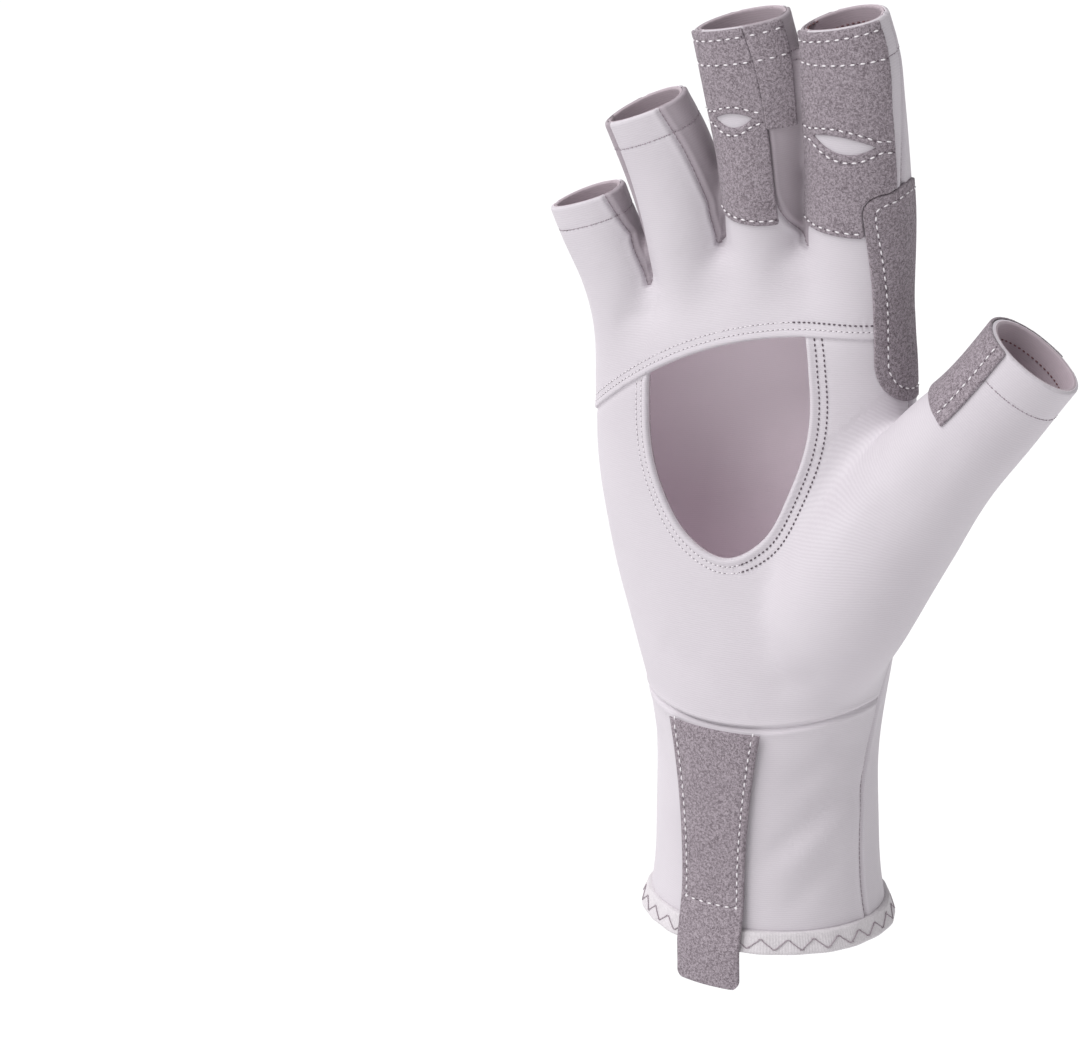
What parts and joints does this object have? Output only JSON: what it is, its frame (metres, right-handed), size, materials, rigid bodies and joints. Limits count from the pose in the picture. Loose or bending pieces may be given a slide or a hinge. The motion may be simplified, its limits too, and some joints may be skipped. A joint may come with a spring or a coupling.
{
  "type": "fishing glove",
  "caption": "Fingerless knitted fishing glove for the right hand with suede finger patches, an open palm, a long flared cuff and a suede pull tab.",
  "frame": {"origin": "centre of the cuff's mouth, at the lower edge of the hem, where the wearer's forearm enters", "axes": "+Z towards the fingertips, -Y out of the palm, +X towards the thumb"},
  "size_m": [0.1512, 0.0606, 0.2721],
  "materials": {
    "knit": "matte stretch knit, pale mauve grey",
    "fourchette_knit": "matte stretch knit, as the panels",
    "hem_tape": "ribbed elastic tape with zigzag stitching",
    "suede": "napped synthetic suede, warm mauve grey"
  },
  "bodies": {
    "root": {"back_panel": "knit", "palm_upper": "knit", "palm_lower": "knit", "cuff_panel": "knit", "fourchette_index_middle": "fourchette_knit", "fourchette_middle_ring": "fourchette_knit", "fourchette_ring_little": "fourchette_knit", "cuff_hem": "hem_tape", "index_hem": "knit", "middle_hem": "knit", "ring_hem": "knit", "little_hem": "knit", "thumb_hem": "knit", "opening_binding": "knit", "index_patch": "suede", "middle_patch": "suede", "middle_side_patch": "suede", "index_side_patch": "suede", "thumb_patch": "suede", "pull_tab": "suede"}
  },
  "joints": []
}
